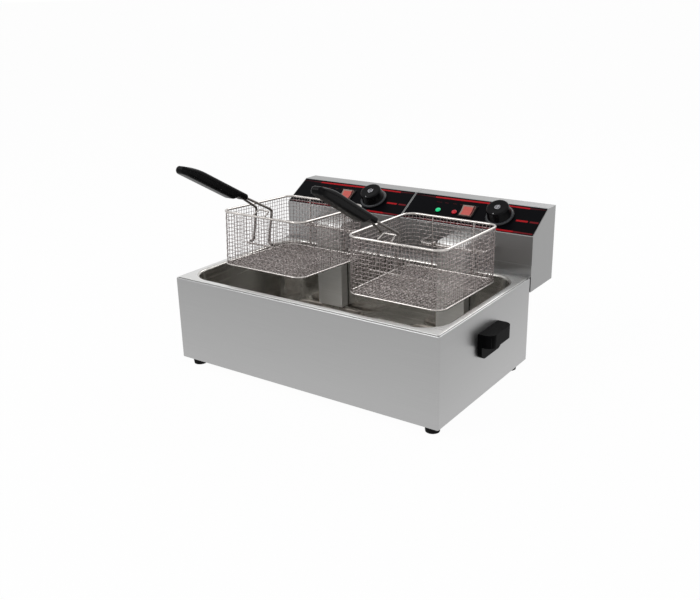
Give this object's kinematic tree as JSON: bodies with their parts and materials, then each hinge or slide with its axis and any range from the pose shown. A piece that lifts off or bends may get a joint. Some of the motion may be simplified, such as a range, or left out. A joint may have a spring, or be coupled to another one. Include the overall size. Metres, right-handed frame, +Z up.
{
  "type": "double countertop deep fryer",
  "caption": "Double countertop deep fryer with a sheet-metal casing, one wide basin, lift-off control heads with heating elements, and wire baskets with plug-in handles hung up to drain.",
  "frame": {"origin": "on the floor under the feet, in the middle of the whole fryer's box", "axes": "+Z up; the front of the fryer, where the basket handles point, faces -Y; +X to its right seen from the front"},
  "size_m": [0.614, 0.5596, 0.4128],
  "materials": {
    "brushed_sheet": "brushed stainless sheet",
    "basin_sheet": "polished stainless sheet",
    "bright_wire": "bright plated wire",
    "basket_mesh": "plated wire mesh",
    "black_plastic": "black heat-resistant plastic",
    "black_gloss": "glossy black plastic",
    "panel_print": "black printed foil with red lines",
    "rocker_red": "translucent red",
    "lens_green": "translucent green",
    "lens_red": "translucent red",
    "rubber": "black rubber",
    "screw_steel": "plated steel",
    "element_tube": "stainless tube darkened by heat",
    "copper": "copper bulb and capillary",
    "ceramic": "white ceramic",
    "grey_body": "grey housing"
  },
  "bodies": {
    "casing": {"casing": "brushed_sheet", "base_plate": "brushed_sheet", "feet": "rubber", "foot_screws": "screw_steel", "side_handle_left": "black_plastic", "side_handle_right": "black_plastic", "side_handle_screws": "screw_steel"},
    "tank": {"tank": "basin_sheet"},
    "left_head": {"left_head_cover": "brushed_sheet", "left_head_hanger": "brushed_sheet", "left_head_back_cover": "brushed_sheet", "left_head_screws": "screw_steel", "left_control_overlay": "panel_print", "left_thermostat": "grey_body", "left_thermostat_bulb": "copper", "left_rocker_frame": "black_plastic", "left_green_lamp": "lens_green", "left_red_lamp": "lens_red", "left_element_guard": "brushed_sheet", "left_heating_element": "element_tube", "left_hanger_rod": "bright_wire", "left_cable_gland": "black_plastic", "left_terminal_block": "ceramic", "left_limit_thermostat": "grey_body"},
    "left_knob": {"left_knob": "black_gloss"},
    "left_rocker": {"left_rocker_paddle": "rocker_red"},
    "left_basket": {"left_basket_rim": "bright_wire", "left_basket_floor_frame": "bright_wire", "left_basket_hooks": "bright_wire", "left_handle_seat": "bright_wire", "left_basket_mesh_walls": "basket_mesh", "left_basket_mesh_floor": "basket_mesh"},
    "left_basket_handle": {"left_handle_fork": "bright_wire", "left_handle_grip": "black_plastic"},
    "right_head": {"right_head_cover": "brushed_sheet", "right_head_hanger": "brushed_sheet", "right_head_back_cover": "brushed_sheet", "right_head_screws": "screw_steel", "right_control_overlay": "panel_print", "right_thermostat": "grey_body", "right_thermostat_bulb": "copper", "right_rocker_frame": "black_plastic", "right_green_lamp": "lens_green", "right_red_lamp": "lens_red", "right_element_guard": "brushed_sheet", "right_heating_element": "element_tube", "right_hanger_rod": "bright_wire", "right_cable_gland": "black_plastic", "right_terminal_block": "ceramic", "right_limit_thermostat": "grey_body"},
    "right_knob": {"right_knob": "black_gloss"},
    "right_rocker": {"right_rocker_paddle": "rocker_red"},
    "right_basket": {"right_basket_rim": "bright_wire", "right_basket_floor_frame": "bright_wire", "right_basket_hooks": "bright_wire", "right_handle_seat": "bright_wire", "right_basket_mesh_walls": "basket_mesh", "right_basket_mesh_floor": "basket_mesh"},
    "right_basket_handle": {"right_handle_fork": "bright_wire", "right_handle_grip": "black_plastic"}
  },
  "joints": [
    {"name": "tank_lift", "type": "slide", "parent": "casing", "child": "tank", "axis": [0, 0, 1], "range_m": [0, 0.2]},
    {"name": "left_head_lift", "type": "slide", "parent": "tank", "child": "left_head", "axis": [0, 0, 1], "range_m": [0, 0.2]},
    {"name": "left_knob_turn", "type": "hinge", "parent": "left_head", "child": "left_knob", "pos_m": [-0.082, 0.19592, 0.27], "axis": [0, -0.5, 0.866], "range_deg": [-280, 0]},
    {"name": "left_rocker_press", "type": "hinge", "parent": "left_head", "child": "left_rocker", "pos_m": [-0.149, 0.19857, 0.26841], "axis": [-1, 0, 0], "range_deg": [0, 16]},
    {"name": "left_basket_lift", "type": "slide", "parent": "left_head", "child": "left_basket", "axis": [0, 0, 1], "range_m": [0, 0.2]},
    {"name": "left_handle_pull", "type": "slide", "parent": "left_basket", "child": "left_basket_handle", "axis": [0, 0.2079, 0.9781], "range_m": [0, 0.09]},
    {"name": "right_head_lift", "type": "slide", "parent": "tank", "child": "right_head", "axis": [0, 0, 1], "range_m": [0, 0.2]},
    {"name": "right_knob_turn", "type": "hinge", "parent": "right_head", "child": "right_knob", "pos_m": [0.198, 0.19592, 0.27], "axis": [0, -0.5, 0.866], "range_deg": [-280, 0]},
    {"name": "right_rocker_press", "type": "hinge", "parent": "right_head", "child": "right_rocker", "pos_m": [0.131, 0.19857, 0.26841], "axis": [-1, 0, 0], "range_deg": [0, 16]},
    {"name": "right_basket_lift", "type": "slide", "parent": "right_head", "child": "right_basket", "axis": [0, 0, 1], "range_m": [0, 0.2]},
    {"name": "right_handle_pull", "type": "slide", "parent": "right_basket", "child": "right_basket_handle", "axis": [0, 0.225, 0.9744], "range_m": [0, 0.09]}
  ]
}
